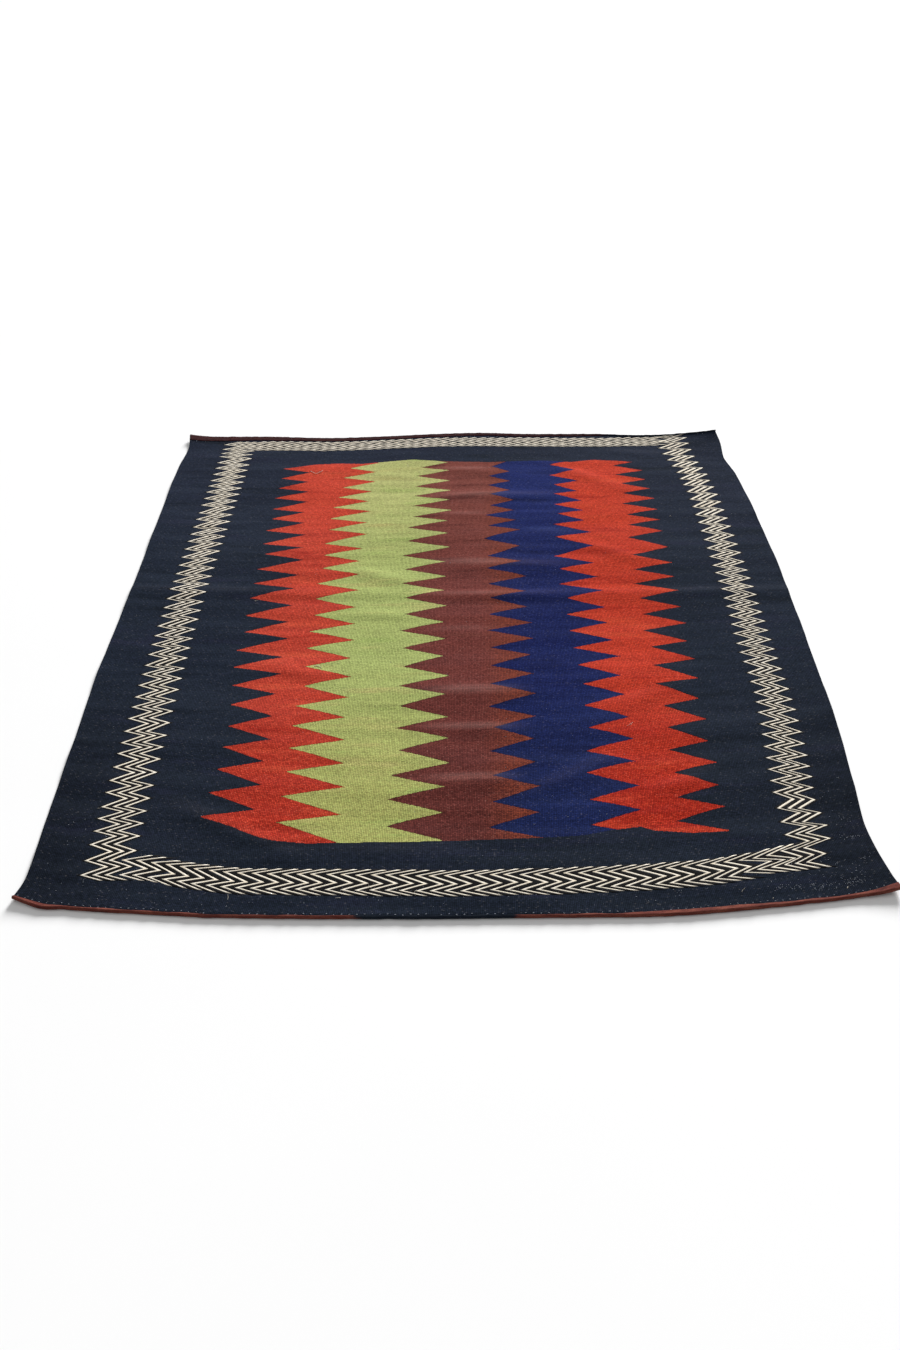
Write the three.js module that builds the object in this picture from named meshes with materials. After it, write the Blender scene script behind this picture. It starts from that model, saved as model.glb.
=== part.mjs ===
// A flat-woven sofreh kilim lying face up on a floor, in millimetres with +Z up.
// X runs across the rug and Y along it, from the near end to the far end.
// The origin is the middle of the rug's outline, on the floor.
// Three pieces: the woven cloth and a tape folded over each of its two ends.
import * as THREE from "three";

// Driving sizes
const CLOTH_THICK = 2.5;
const TAPE_THICK = 1.0;
const GAP = 0.3;
const SLOT_HEIGHT = CLOTH_THICK + 2 * GAP;
const TAPE_HEIGHT = SLOT_HEIGHT + 2 * TAPE_THICK;
const NOSE_RADIUS = 3.45;
const NOSE_WALL = 2.4;
const CLOTH_SETBACK = 3.7;
const STEP_RUN = 20;

// How finely the cloth is divided, with its columns drawn towards the two side edges
const COLUMNS = 40;
const COLUMN_DRAW = 0.05;
const MIDDLE_ROWS = 60;
const NOSE_STEPS = 6;
const SLOT_STEPS = 4;

// The two side edges: share of the length from the near end, and x there
const LEFT_EDGE = [
  { at: 0.0, value: -709 },
  { at: 0.03, value: -700 },
  { at: 0.1, value: -704 },
  { at: 0.22, value: -708 },
  { at: 0.36, value: -714 },
  { at: 0.55, value: -711 },
  { at: 0.75, value: -712 },
  { at: 0.9, value: -711 },
  { at: 0.96, value: -704 },
  { at: 1.0, value: -709 },
];
const RIGHT_EDGE = [
  { at: 0.0, value: 695 },
  { at: 0.09, value: 680 },
  { at: 0.16, value: 689 },
  { at: 0.25, value: 701 },
  { at: 0.42, value: 709 },
  { at: 0.6, value: 714 },
  { at: 0.75, value: 710 },
  { at: 0.87, value: 701 },
  { at: 0.9, value: 692 },
  { at: 0.92, value: 686 },
  { at: 0.97, value: 690 },
  { at: 1.0, value: 684 },
];

// The two ends: share of the width from the left edge, and y there
const NEAR_END = [
  { at: 0.0, value: -774 },
  { at: 0.034, value: -791 },
  { at: 0.058, value: -792 },
  { at: 0.105, value: -797.5 },
  { at: 0.155, value: -802 },
  { at: 0.23, value: -808.5 },
  { at: 0.45, value: -811 },
  { at: 0.55, value: -809 },
  { at: 0.63, value: -808 },
  { at: 0.73, value: -805.5 },
  { at: 0.83, value: -792 },
  { at: 0.93, value: -774 },
  { at: 0.952, value: -769 },
  { at: 0.976, value: -765 },
  { at: 1.0, value: -758 },
];
const FAR_END = [
  { at: 0.0, value: 777 },
  { at: 0.15, value: 778 },
  { at: 0.27, value: 771 },
  { at: 0.38, value: 782 },
  { at: 0.47, value: 794 },
  { at: 0.55, value: 800 },
  { at: 0.64, value: 794 },
  { at: 0.78, value: 794 },
  { at: 0.85, value: 788 },
  { at: 0.94, value: 793 },
  { at: 1.0, value: 788 },
];

// How far each tape reaches in over the cloth: share of the width, and depth
const NEAR_TAPE_DEPTH = [
  { at: 0.0, value: 6 },
  { at: 0.025, value: 8.2 },
  { at: 0.045, value: 8.2 },
  { at: 0.07, value: 5.4 },
  { at: 0.1, value: 5.6 },
  { at: 0.19, value: 5.6 },
  { at: 0.3, value: 5 },
  { at: 0.62, value: 5.2 },
  { at: 0.72, value: 9 },
  { at: 0.83, value: 9.6 },
  { at: 0.9, value: 7 },
  { at: 0.945, value: 7 },
  { at: 0.97, value: 10 },
  { at: 1.0, value: 15 },
];
const FAR_TAPE_DEPTH = [
  { at: 0.0, value: 24 },
  { at: 0.2, value: 17 },
  { at: 0.5, value: 14 },
  { at: 0.72, value: 11 },
  { at: 0.84, value: 6 },
  { at: 1.0, value: 5.4 },
];

// Soft folds: a straight crest from one point to the other, its half width and its height
const FOLDS = [
  // Right across the rug
  { from: [-900, 78], to: [40, 50], half: 36, high: 3.2 },
  { from: [-120, 46], to: [900, 82], half: 36, high: 3.2 },
  // Across the middle columns
  { from: [-70, 601], to: [110, 603], half: 30, high: 2.6 },
  { from: [-80, 470], to: [290, 480], half: 38, high: 3.6 },
  { from: [-60, 385], to: [90, 384], half: 28, high: 1.8 },
  { from: [-100, 176], to: [300, 168], half: 48, high: 4.2 },
  { from: [-110, 50], to: [260, 52], half: 32, high: 2.6 },
  { from: [-90, -76], to: [90, -72], half: 28, high: 1.8 },
  { from: [-90, -272], to: [150, -268], half: 46, high: 3.8 },
  { from: [-100, -378], to: [140, -374], half: 34, high: 3.6 },
  { from: [-80, -512], to: [120, -506], half: 34, high: 3.0 },
  // Slanting on the right
  { from: [205, 640], to: [440, 498], half: 38, high: 3.8 },
  { from: [240, 278], to: [450, 176], half: 38, high: 3.8 },
  { from: [150, 305], to: [265, 300], half: 34, high: 2.0 },
  { from: [370, 700], to: [560, 680], half: 30, high: 2.2 },
  { from: [90, -560], to: [310, -428], half: 46, high: 3.6 },
  { from: [250, -330], to: [450, -232], half: 44, high: 3.4 },
  { from: [310, -550], to: [470, -472], half: 34, high: 3.4 },
  // On the left
  { from: [-260, 160], to: [-85, 94], half: 34, high: 3.2 },
  { from: [-260, -12], to: [-80, -22], half: 26, high: 2.0 },
  { from: [-410, -180], to: [-230, -232], half: 34, high: 2.6 },
  { from: [-240, 572], to: [-80, 566], half: 30, high: 2.4 },
  { from: [-530, -550], to: [-250, -695], half: 42, high: 3.6 },
  { from: [-340, -676], to: [80, -676], half: 38, high: 2.0 },
];

// Corners that curl up: which corner, how far in the curl starts and how high it stands
const CURLS = [
  { corner: [0, 0], reach: 90, high: 3.5 },
  { corner: [1, 0], reach: 110, high: 6 },
  { corner: [0, 1], reach: 90, high: 5 },
  { corner: [1, 1], reach: 150, high: 16 },
];

// The selvedges ripple a little where they don't quite lie down
const RIPPLE_HIGH = 2.4;
const RIPPLE_REACH = 70;
const RIPPLE_LENGTH = 245;
const RIPPLE_SHIFT = { left: 30, right: 120 };

function mix(a, b, share) {
  return a + (b - a) * share;
}

function slopeAt(table, i) {
  const before = table[Math.max(i - 1, 0)];
  const after = table[Math.min(i + 1, table.length - 1)];
  return (after.value - before.value) / (after.at - before.at);
}

// A smooth curve through the rows of a table
function readTable(table, at) {
  let i = 0;
  while (i < table.length - 2 && at > table[i + 1].at) {
    i += 1;
  }
  const span = table[i + 1].at - table[i].at;
  const t = (at - table[i].at) / span;
  const rise = table[i + 1].value - table[i].value;
  const start = slopeAt(table, i) * span;
  const end = slopeAt(table, i + 1) * span;
  const cubic = start + end - 2 * rise;
  const square = 3 * rise - 2 * start - end;
  return table[i].value + t * (start + t * (square + t * cubic));
}

// The place on the floor of a point at shares u of the width and v of the length
function planPoint(u, v) {
  const x = mix(readTable(LEFT_EDGE, v), readTable(RIGHT_EDGE, v), u);
  const y = mix(readTable(NEAR_END, u), readTable(FAR_END, u), v);
  return { x, y };
}

function foldHeight(fold, x, y) {
  const alongX = fold.to[0] - fold.from[0];
  const alongY = fold.to[1] - fold.from[1];
  const length = Math.hypot(alongX, alongY);
  const share = ((x - fold.from[0]) * alongX + (y - fold.from[1]) * alongY) / length ** 2;
  const off = Math.abs((x - fold.from[0]) * alongY - (y - fold.from[1]) * alongX) / length;
  if (share <= 0 || share >= 1 || off >= fold.half) {
    return 0;
  }
  const crest = Math.cos((Math.PI / 2) * (off / fold.half)) ** 2;
  return fold.high * crest * Math.sin(Math.PI * share);
}

function curlHeight(curl, x, y) {
  const corner = planPoint(curl.corner[0], curl.corner[1]);
  const near = 1 - Math.hypot(x - corner.x, y - corner.y) / curl.reach;
  return near > 0 ? curl.high * near ** 2 : 0;
}

function rippleHeight(distance, y, shift) {
  const near = 1 - distance / RIPPLE_REACH;
  const wave = Math.sin((2 * Math.PI * (y + shift)) / RIPPLE_LENGTH);
  return near > 0 && wave > 0 ? RIPPLE_HIGH * wave * near ** 2 : 0;
}

// How far the underside is lifted off the floor at a point of the plan
function liftAt(u, v) {
  const { x, y } = planPoint(u, v);
  const folds = FOLDS.reduce((sum, fold) => sum + foldHeight(fold, x, y), 0);
  const curls = CURLS.reduce((sum, curl) => sum + curlHeight(curl, x, y), 0);
  const fromLeft = x - readTable(LEFT_EDGE, v);
  const fromRight = readTable(RIGHT_EDGE, v) - x;
  const left = rippleHeight(fromLeft, y, RIPPLE_SHIFT.left);
  const right = rippleHeight(fromRight, y, RIPPLE_SHIFT.right);
  return folds + curls + left + right;
}

function columnShare(i) {
  const even = i / COLUMNS;
  return even - COLUMN_DRAW * Math.sin(2 * Math.PI * even);
}

function lengthAt(u) {
  return readTable(FAR_END, u) - readTable(NEAR_END, u);
}

// A closed mesh geometry from points and triangles that face outwards
function closedGeometry(points, triangles) {
  const geometry = new THREE.BufferGeometry();
  geometry.setAttribute("position", new THREE.Float32BufferAttribute(points, 3));
  geometry.setIndex(triangles);
  geometry.computeVertexNormals();
  return geometry;
}

// The rows of the cloth at share u: distance from the near end, and height above the lift.
// The cloth steps up at both ends on to the lower leaf of the tape.
function clothRows(u) {
  const nearDepth = readTable(NEAR_TAPE_DEPTH, u);
  const farDepth = readTable(FAR_TAPE_DEPTH, u);
  const length = lengthAt(u);
  const raised = TAPE_THICK + GAP;
  const first = nearDepth + STEP_RUN;
  const last = length - farDepth - STEP_RUN;
  const rows = [
    { s: CLOTH_SETBACK, high: raised },
    { s: nearDepth, high: raised },
  ];
  for (let i = 0; i <= MIDDLE_ROWS; i += 1) {
    rows.push({ s: mix(first, last, i / MIDDLE_ROWS), high: 0 });
  }
  rows.push({ s: length - farDepth, high: raised });
  rows.push({ s: length - CLOTH_SETBACK, high: raised });
  return rows;
}

function clothSolid() {
  const points = [];
  const layer = [[], []];
  for (let i = 0; i <= COLUMNS; i += 1) {
    const u = columnShare(i);
    const length = lengthAt(u);
    clothRows(u).forEach((row, j) => {
      const v = row.s / length;
      const { x, y } = planPoint(u, v);
      const under = liftAt(u, v) + row.high;
      layer.forEach((grid, side) => {
        grid[j] = grid[j] ?? [];
        grid[j][i] = points.length / 3;
        points.push(x, y, under + side * CLOTH_THICK);
      });
    });
  }
  return closedGeometry(points, sheetTriangles(layer[0], layer[1]));
}

// Two grids of point numbers, the underside and the face, closed by a rim
function sheetTriangles(under, face) {
  const triangles = [];
  const rows = face.length - 1;
  const columns = face[0].length - 1;
  const quad = (a, b, c, d) => triangles.push(a, b, c, a, c, d);
  for (let j = 0; j < rows; j += 1) {
    for (let i = 0; i < columns; i += 1) {
      quad(face[j][i], face[j][i + 1], face[j + 1][i + 1], face[j + 1][i]);
      quad(under[j][i], under[j + 1][i], under[j + 1][i + 1], under[j][i + 1]);
    }
  }
  for (let i = 0; i < columns; i += 1) {
    quad(under[0][i], under[0][i + 1], face[0][i + 1], face[0][i]);
    quad(under[rows][i + 1], under[rows][i], face[rows][i], face[rows][i + 1]);
  }
  for (let j = 0; j < rows; j += 1) {
    quad(under[j + 1][0], under[j][0], face[j][0], face[j + 1][0]);
    quad(under[j][columns], under[j + 1][columns], face[j + 1][columns], face[j][columns]);
  }
  return triangles;
}

// Half a turn of points from the top of a circle round its outer side to the bottom
function halfTurn(centre, middle, radius, steps) {
  const points = [];
  for (let k = 0; k <= steps; k += 1) {
    const angle = (Math.PI * k) / steps;
    points.push({ s: centre - radius * Math.sin(angle), z: middle + radius * Math.cos(angle) });
  }
  return points;
}

// The tape's section, folded round the end of the cloth: s is the distance in from the fold.
// The fold is a plump roll that stands a little higher than the leaf on the cloth.
function tapeSection(depth) {
  const slot = SLOT_HEIGHT / 2;
  const roll = halfTurn(NOSE_RADIUS, NOSE_RADIUS, NOSE_RADIUS, NOSE_STEPS);
  const outer = [{ s: depth, z: TAPE_HEIGHT }, ...roll, { s: depth, z: 0 }];
  const inner = halfTurn(NOSE_WALL + slot, TAPE_HEIGHT / 2, slot, SLOT_STEPS).reverse();
  const top = TAPE_HEIGHT - TAPE_THICK;
  return [...outer, { s: depth, z: TAPE_THICK }, ...inner, { s: depth, z: top }];
}

function tapeSolid(depths, shareFrom) {
  const points = [];
  const size = tapeSection(depths[0].value).length;
  for (let i = 0; i <= COLUMNS; i += 1) {
    const u = columnShare(i);
    tapeSection(readTable(depths, u)).forEach((corner) => {
      const v = shareFrom(corner.s / lengthAt(u));
      const { x, y } = planPoint(u, v);
      points.push(x, y, liftAt(u, v) + corner.z);
    });
  }
  const flip = shareFrom(0) > shareFrom(1);
  return closedGeometry(points, tubeTriangles(size, tapeSection(depths[0].value), flip));
}

// Rings of a section along a strip, with its two ends closed.
// Each quad is split along the same diagonal as the cloth that it lies against.
function tubeTriangles(size, section, flip) {
  const triangles = [];
  const push = (a, b, c) => (flip ? triangles.push(a, c, b) : triangles.push(a, b, c));
  for (let i = 0; i < COLUMNS; i += 1) {
    for (let k = 0; k < size; k += 1) {
      const next = (k + 1) % size;
      const [a, b] = [i * size + k, i * size + next];
      const inwards = section[next].s > section[k].s;
      if (inwards !== flip) {
        push(a, b, b + size);
        push(a, b + size, a + size);
      } else {
        push(a, b, a + size);
        push(b, b + size, a + size);
      }
    }
  }
  const outline = section.map((corner) => new THREE.Vector2(corner.s, corner.z));
  const last = COLUMNS * size;
  THREE.ShapeUtils.triangulateShape(outline, []).forEach(([a, b, c]) => {
    push(a, c, b);
    push(last + a, last + b, last + c);
  });
  return triangles;
}

function wool(color) {
  return new THREE.MeshStandardMaterial({ color, roughness: 0.92, metalness: 0 });
}

function piece(name, geometry, material) {
  const mesh = new THREE.Mesh(geometry, material);
  mesh.name = name;
  return mesh;
}

const NAVY = 0x1c2438;
const RED_BROWN = 0x64322d;

const rug = new THREE.Group();
rug.add(piece("kilim_cloth", clothSolid(), wool(NAVY)));
rug.add(piece("near_end_binding", tapeSolid(NEAR_TAPE_DEPTH, (share) => share), wool(RED_BROWN)));
rug.add(piece("far_end_binding", tapeSolid(FAR_TAPE_DEPTH, (share) => 1 - share), wool(RED_BROWN)));

// The outline's middle goes to the origin
const box = new THREE.Box3().setFromObject(rug);
const middle = box.getCenter(new THREE.Vector3());
rug.position.set(-middle.x, -middle.y, -box.min.z);

export default rug;
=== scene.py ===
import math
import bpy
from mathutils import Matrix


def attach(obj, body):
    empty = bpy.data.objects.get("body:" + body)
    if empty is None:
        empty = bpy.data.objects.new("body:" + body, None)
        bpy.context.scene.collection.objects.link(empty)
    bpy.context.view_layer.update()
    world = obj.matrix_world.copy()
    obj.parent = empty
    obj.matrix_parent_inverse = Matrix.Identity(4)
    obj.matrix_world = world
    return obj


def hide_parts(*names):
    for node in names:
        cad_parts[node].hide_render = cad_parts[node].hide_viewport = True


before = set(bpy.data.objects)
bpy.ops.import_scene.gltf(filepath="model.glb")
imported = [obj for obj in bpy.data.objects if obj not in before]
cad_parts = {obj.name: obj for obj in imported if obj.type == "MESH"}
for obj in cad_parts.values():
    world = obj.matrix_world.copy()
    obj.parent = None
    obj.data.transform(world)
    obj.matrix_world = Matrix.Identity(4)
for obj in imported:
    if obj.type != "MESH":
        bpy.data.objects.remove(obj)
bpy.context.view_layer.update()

# A flat-woven sofreh kilim lying face up on a pale floor.
# The plan is worked out in millimetres, X across the rug and Y from the near end to the far end,
# and moved so that the outline's middle is the frame's origin. Meshes are in metres.
from types import SimpleNamespace

import bpy
import numpy as np
from mathutils import Vector

MM = 0.001

# Sizes shared with the solids
WIDTH = 1410.0
LENGTH = 1600.0
CLOTH_THICK = 2.5
TAPE_THICK = 1.0
GAP = 0.3
SLOT_HEIGHT = CLOTH_THICK + 2 * GAP
TAPE_HEIGHT = SLOT_HEIGHT + 2 * TAPE_THICK
NOSE_RADIUS = 3.45
NOSE_WALL = 2.4
CLOTH_SETBACK = 3.7
STEP_RUN = 20.0

# The two side edges: share of the length from the near end, x
LEFT_EDGE = [
    (0.0, -709), (0.03, -700), (0.1, -704), (0.22, -708), (0.36, -714),
    (0.55, -711), (0.75, -712), (0.9, -711), (0.96, -704), (1.0, -709),
]
RIGHT_EDGE = [
    (0.0, 695), (0.09, 680), (0.16, 689), (0.25, 701), (0.42, 709), (0.6, 714),
    (0.75, 710), (0.87, 701), (0.9, 692), (0.92, 686), (0.97, 690), (1.0, 684),
]
# The two ends: share of the width from the left edge, y
NEAR_END = [
    (0.0, -774), (0.034, -791), (0.058, -792), (0.105, -797.5), (0.155, -802), (0.23, -808.5),
    (0.45, -811), (0.55, -809), (0.63, -808), (0.73, -805.5), (0.83, -792), (0.93, -774),
    (0.952, -769), (0.976, -765), (1.0, -758),
]
FAR_END = [
    (0.0, 777), (0.15, 778), (0.27, 771), (0.38, 782), (0.47, 794), (0.55, 800),
    (0.64, 794), (0.78, 794), (0.85, 788), (0.94, 793), (1.0, 788),
]
# How far each tape reaches in over the cloth: share of the width, depth
NEAR_TAPE_DEPTH = [
    (0.0, 6), (0.025, 8.2), (0.045, 8.2), (0.07, 5.4), (0.1, 5.6), (0.19, 5.6), (0.3, 5),
    (0.62, 5.2), (0.72, 9), (0.83, 9.6), (0.9, 7), (0.945, 7), (0.97, 10), (1.0, 15),
]
FAR_TAPE_DEPTH = [(0.0, 24), (0.2, 17), (0.5, 14), (0.72, 11), (0.84, 6), (1.0, 5.4)]

# Soft folds: from x, y, to x, y, half width, height
# Right across the rug
CROSS_FOLDS = [
    (-900, 78, 40, 50, 36, 3.2), (-120, 46, 900, 82, 36, 3.2),
]
# Across the middle columns
MIDDLE_FOLDS = [
    (-70, 601, 110, 603, 30, 2.6), (-80, 470, 290, 480, 38, 3.6),
    (-60, 385, 90, 384, 28, 1.8), (-100, 176, 300, 168, 48, 4.2),
    (-110, 50, 260, 52, 32, 2.6), (-90, -76, 90, -72, 28, 1.8),
    (-90, -272, 150, -268, 46, 3.8), (-100, -378, 140, -374, 34, 3.6),
    (-80, -512, 120, -506, 34, 3.0),
]
# Slanting on the right
RIGHT_FOLDS = [
    (205, 640, 440, 498, 38, 3.8), (240, 278, 450, 176, 38, 3.8),
    (150, 305, 265, 300, 34, 2.0), (370, 700, 560, 680, 30, 2.2),
    (90, -560, 310, -428, 46, 3.6), (250, -330, 450, -232, 44, 3.4),
    (310, -550, 470, -472, 34, 3.4),
]
# On the left
LEFT_FOLDS = [
    (-260, 160, -85, 94, 34, 3.2), (-260, -12, -80, -22, 26, 2.0),
    (-410, -180, -230, -232, 34, 2.6), (-240, 572, -80, 566, 30, 2.4),
    (-530, -550, -250, -695, 42, 3.6), (-340, -676, 80, -676, 38, 2.0),
]
FOLDS = CROSS_FOLDS + MIDDLE_FOLDS + RIGHT_FOLDS + LEFT_FOLDS
# Corners that curl up: u, v, reach, height
CURLS = [(0, 0, 90, 3.5), (1, 0, 110, 6), (0, 1, 90, 5), (1, 1, 150, 16)]
RIPPLE_HIGH = 2.4
RIPPLE_REACH = 70.0
RIPPLE_LENGTH = 245.0
RIPPLE_SHIFT_LEFT = 30.0
RIPPLE_SHIFT_RIGHT = 120.0

# Painted highlight on the far-facing slope just beyond the crests, with pale wear from rubbing
HIGHLIGHT_AND_WEAR_BEYOND = 11.0
HIGHLIGHT_AND_WEAR_WIDTH = 0.5
HIGHLIGHT_AND_WEAR_FULL = 4.2
SIDE_HIGHLIGHT_AND_WEAR = 0.18
# The brown wool shows it most: x, share
HIGHLIGHT_AND_WEAR_KEPT = [(-110, 0.6), (-50, 1.1), (60, 1.1), (130, 0.3), (300, 0.25)]

# The visible cloth
CLOTH_COLUMNS = 140
CLOTH_ROWS = 280
EDGE_ROUND = 1.25
SELVEDGE_WIDE = 5.0
SELVEDGE_HIGH = 0.45
BACK_CLEAR = 0.35
UNEVEN_HIGH = 0.2
CREASE_HIGH = 0.38
CREASE_PATCH_EDGE = 1.4
PATTERN_SHIFT = 3.5


def read(table, at):
    """A smooth curve through the rows of a table."""
    rows = np.asarray(table, float)
    places, values = rows[:, 0], rows[:, 1]
    last = len(rows) - 1
    order = np.arange(len(rows))
    before, after = np.maximum(order - 1, 0), np.minimum(order + 1, last)
    slopes = (values[after] - values[before]) / (places[after] - places[before])
    at = np.asarray(at, float)
    i = np.clip(np.searchsorted(places, at, side="left") - 1, 0, last - 1)
    span = places[i + 1] - places[i]
    t = (at - places[i]) / span
    rise = values[i + 1] - values[i]
    start, end = slopes[i] * span, slopes[i + 1] * span
    cubic = start + end - 2 * rise
    square = 3 * rise - 2 * start - end
    return values[i] + t * (start + t * (square + t * cubic))


def level(table, at):
    """Straight lines through the rows of a table."""
    return np.interp(at, *zip(*table))


def length_so_far(a, b):
    """Length along a flat polyline up to each of its points."""
    return np.concatenate([[0], np.cumsum(np.hypot(np.diff(a), np.diff(b)))])


def plan(u, v):
    """The place on the floor of a point at shares u of the width and v of the length."""
    left, right = read(LEFT_EDGE, v), read(RIGHT_EDGE, v)
    near, far = read(NEAR_END, u), read(FAR_END, u)
    return left + (right - left) * u, near + (far - near) * v


def length_at(u):
    return read(FAR_END, u) - read(NEAR_END, u)


# The width that the first round of shares starts from
FIRST_WIDTH = 1420.0


def shares(x, y):
    """The shares u and v of a place on the floor."""
    u = (np.asarray(x, float) + FIRST_WIDTH / 2) / FIRST_WIDTH
    v = (np.asarray(y, float) + LENGTH / 2) / LENGTH
    for _ in range(6):
        near, far = read(NEAR_END, u), read(FAR_END, u)
        v = np.clip((y - near) / (far - near), 0, 1)
        left, right = read(LEFT_EDGE, v), read(RIGHT_EDGE, v)
        u = np.clip((x - left) / (right - left), 0, 1)
    return u, v


def fold_height(fold, x, y, width=1.0):
    """Height of a fold at a place, with its half width scaled."""
    x0, y0, x1, y1, half, high = fold
    half = half * width
    along_x, along_y = x1 - x0, y1 - y0
    length = math.hypot(along_x, along_y)
    share = ((x - x0) * along_x + (y - y0) * along_y) / length**2
    off = np.abs((x - x0) * along_y - (y - y0) * along_x) / length
    inside = (share > 0) & (share < 1) & (off < half)
    crest = np.cos(math.pi / 2 * np.minimum(off / half, 1)) ** 2
    return np.where(inside, high * crest * np.sin(math.pi * np.clip(share, 0, 1)), 0.0)


def crest_highlight_and_wear(x, y):
    """0 to 1 where painted highlight and pale wear from rubbing lie, just beyond the crest of each fold on
    its far-facing slope.
    """
    def ridge(folds):
        return sum(fold_height(fold, x, y - HIGHLIGHT_AND_WEAR_BEYOND, HIGHLIGHT_AND_WEAR_WIDTH) for fold in folds)

    high = level(HIGHLIGHT_AND_WEAR_KEPT, x) * ridge(MIDDLE_FOLDS) + SIDE_HIGHLIGHT_AND_WEAR * ridge(FOLDS)
    return np.clip(high / HIGHLIGHT_AND_WEAR_FULL, 0, 1)


def curl_height(curl, x, y):
    u, v, reach, high = curl
    corner_x, corner_y = plan(u, v)
    near = np.maximum(0, 1 - np.hypot(x - corner_x, y - corner_y) / reach)
    return high * near**2


def ripple_height(distance, y, shift):
    near = np.maximum(0, 1 - distance / RIPPLE_REACH)
    wave = np.maximum(0, np.sin(2 * math.pi * (y + shift) / RIPPLE_LENGTH))
    return RIPPLE_HIGH * wave * near**2


def lift(u, v):
    """How far the underside is lifted off the floor."""
    x, y = plan(u, v)
    high = sum(fold_height(fold, x, y) for fold in FOLDS)
    high = high + sum(curl_height(curl, x, y) for curl in CURLS)
    high = high + ripple_height(x - read(LEFT_EDGE, v), y, RIPPLE_SHIFT_LEFT)
    return high + ripple_height(read(RIGHT_EDGE, v) - x, y, RIPPLE_SHIFT_RIGHT)


def step_up(u, v):
    """The cloth steps up at both ends on to the lower leaf of the tape."""
    length = length_at(u)
    from_near = v * length - read(NEAR_TAPE_DEPTH, u)
    from_far = (1 - v) * length - read(FAR_TAPE_DEPTH, u)
    share = np.clip(np.minimum(from_near, from_far) / STEP_RUN, 0, 1)
    return (TAPE_THICK + GAP) * (1 - share * share * (3 - 2 * share))


def waves(seed, count, shortest, longest, middle=0.0, spread=math.pi):
    """Seeded plane waves: length, heading and start of each. Headings lie about a middle one."""
    rng = np.random.default_rng(seed)
    lengths = rng.uniform(shortest, longest, count)
    headings = middle + rng.uniform(-spread, spread, count)
    starts = rng.uniform(0, 2 * math.pi, count)
    return list(zip(lengths, headings, starts))


def sum_waves(group, x, y):
    total = 0.0
    for length, heading, start in group:
        along = x * math.cos(heading) + y * math.sin(heading)
        total = total + np.sin(2 * math.pi * along / length + start)
    return total / math.sqrt(len(group))


CLOTH_WAVES = waves(11, 12, 38.0, 120.0)
CREASE_WAVES = waves(12, 9, 26.0, 84.0, math.pi / 2, 0.16)
CREASE_PATCHES = waves(13, 7, 180.0, 420.0)


def middle_of_plan():
    share = np.linspace(0, 1, 2001)
    xs = [read(LEFT_EDGE, share).min(), read(RIGHT_EDGE, share).max()]
    ys = [read(NEAR_END, share).min(), read(FAR_END, share).max()]
    return sum(xs) / 2, sum(ys) / 2


MIDDLE_X, MIDDLE_Y = middle_of_plan()


def metres(x, y, z):
    x, y, z = np.broadcast_arrays(x - MIDDLE_X, y - MIDDLE_Y, z)
    return np.stack([x, y, z], axis=-1) * MM


def cloth_layers(u, v):
    """Height of the underside and of the face of the visible cloth."""
    x, y = plan(u, v)
    edge = np.minimum(x - read(LEFT_EDGE, v), read(RIGHT_EDGE, v) - x)
    step = step_up(u, v)
    base = lift(u, v) + step
    bead = np.sin(math.pi * np.clip(edge / SELVEDGE_WIDE, 0, 1)) ** 2
    free = 1 - step / (TAPE_THICK + GAP)
    patches = 0.5 + 0.5 * np.tanh(CREASE_PATCH_EDGE * sum_waves(CREASE_PATCHES, x, y))
    creases = CREASE_HIGH * patches * sum_waves(CREASE_WAVES, x, y)
    uneven = UNEVEN_HIGH * sum_waves(CLOTH_WAVES, x, y) + creases
    face = base + CLOTH_THICK + uneven * free + SELVEDGE_HIGH * bead
    under = base + BACK_CLEAR
    round_off = np.sqrt(1 - (1 - np.clip(edge / EDGE_ROUND, 0, 1)) ** 2)
    middle, half = (face + under) / 2, (face - under) / 2
    return middle - half * round_off, middle + half * round_off


def face_height(x, y):
    u, v = shares(x, y)
    return cloth_layers(u, v)[1]


def under_height(x, y):
    u, v = shares(x, y)
    return cloth_layers(u, v)[0]


def new_mesh(name, points, faces, uvs, material):
    """A mesh object with uv maps given as a dict of name to one uv for each vertex."""
    mesh = bpy.data.meshes.new(name)
    mesh.from_pydata(np.asarray(points).tolist(), [], [list(map(int, face)) for face in faces])
    loops = np.empty(len(mesh.loops), dtype=np.int64)
    mesh.loops.foreach_get("vertex_index", loops)
    for layer_name, uv in uvs.items():
        layer = mesh.uv_layers.new(name=layer_name)
        layer.data.foreach_set("uv", np.asarray(uv, np.float32)[loops].ravel())
    mesh.polygons.foreach_set("use_smooth", np.full(len(mesh.polygons), True))
    mesh.materials.append(material)
    mesh.validate()
    mesh.update()
    piece = bpy.data.objects.new(name, mesh)
    bpy.context.scene.collection.objects.link(piece)
    return piece


# Materials

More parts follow.
